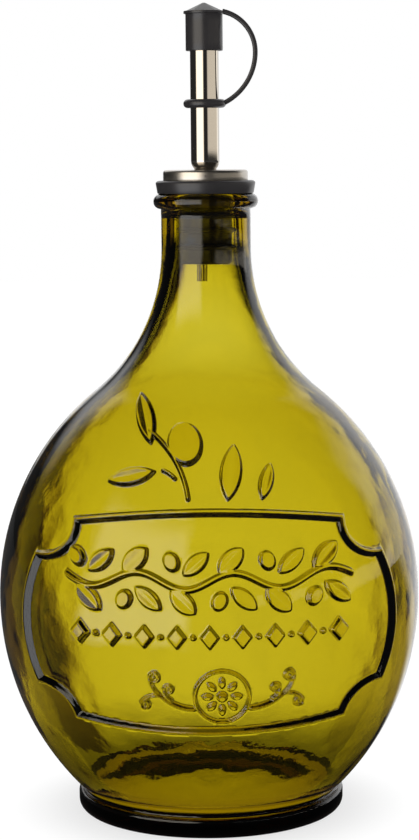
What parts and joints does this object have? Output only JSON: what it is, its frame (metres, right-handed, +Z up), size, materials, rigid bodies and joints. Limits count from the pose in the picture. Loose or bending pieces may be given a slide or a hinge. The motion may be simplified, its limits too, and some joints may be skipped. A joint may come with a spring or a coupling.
{
  "type": "glass oil bottle with pourer",
  "caption": "Squat round olive-green glass oil bottle with a raised cartouche panel, a ribbed rubber stopper, a steel pouring spout and a tethered rubber cap.",
  "frame": {"origin": "middle of the ring that the bottle stands on, at table level", "axes": "+Z up along the bottle's axis, -Y out of the raised panel, +X to the right of the panel, where the strap lies"},
  "size_m": [0.1334, 0.1334, 0.2551],
  "materials": {
    "olive_glass": "fire-polished, clear",
    "black_rubber": "moulded satin",
    "polished_steel": "polished"
  },
  "bodies": {
    "bottle": {"glass_bottle": "olive_glass"},
    "pourer": {"rubber_stopper": "black_rubber", "steel_collar": "polished_steel", "spout_tube": "polished_steel", "breather_tube": "polished_steel"},
    "tether": {"tether_strap": "black_rubber"},
    "cap": {"spout_cap": "black_rubber"},
    "ring": {"tether_ring": "black_rubber"}
  },
  "joints": [
    {"name": "stopper_pull", "type": "slide", "parent": "bottle", "child": "pourer", "axis": [0, 0, 1], "range_m": [0, 0.08]},
    {"name": "tether_swivel", "type": "hinge", "parent": "pourer", "child": "tether", "pos_m": [0, 0, 0.224], "axis": [0, 0, 1], "continuous": true},
    {"name": "cap_lift", "type": "slide", "parent": "tether", "child": "cap", "axis": [0, 0, 1], "range_m": [0, 0.013], "deforming": ["tether_strap"]},
    {"name": "ring_slide", "type": "slide", "parent": "tether", "child": "ring", "axis": [0, 0, 1], "range_m": [-0.006, 0.01], "deforming": ["tether_strap"]}
  ]
}
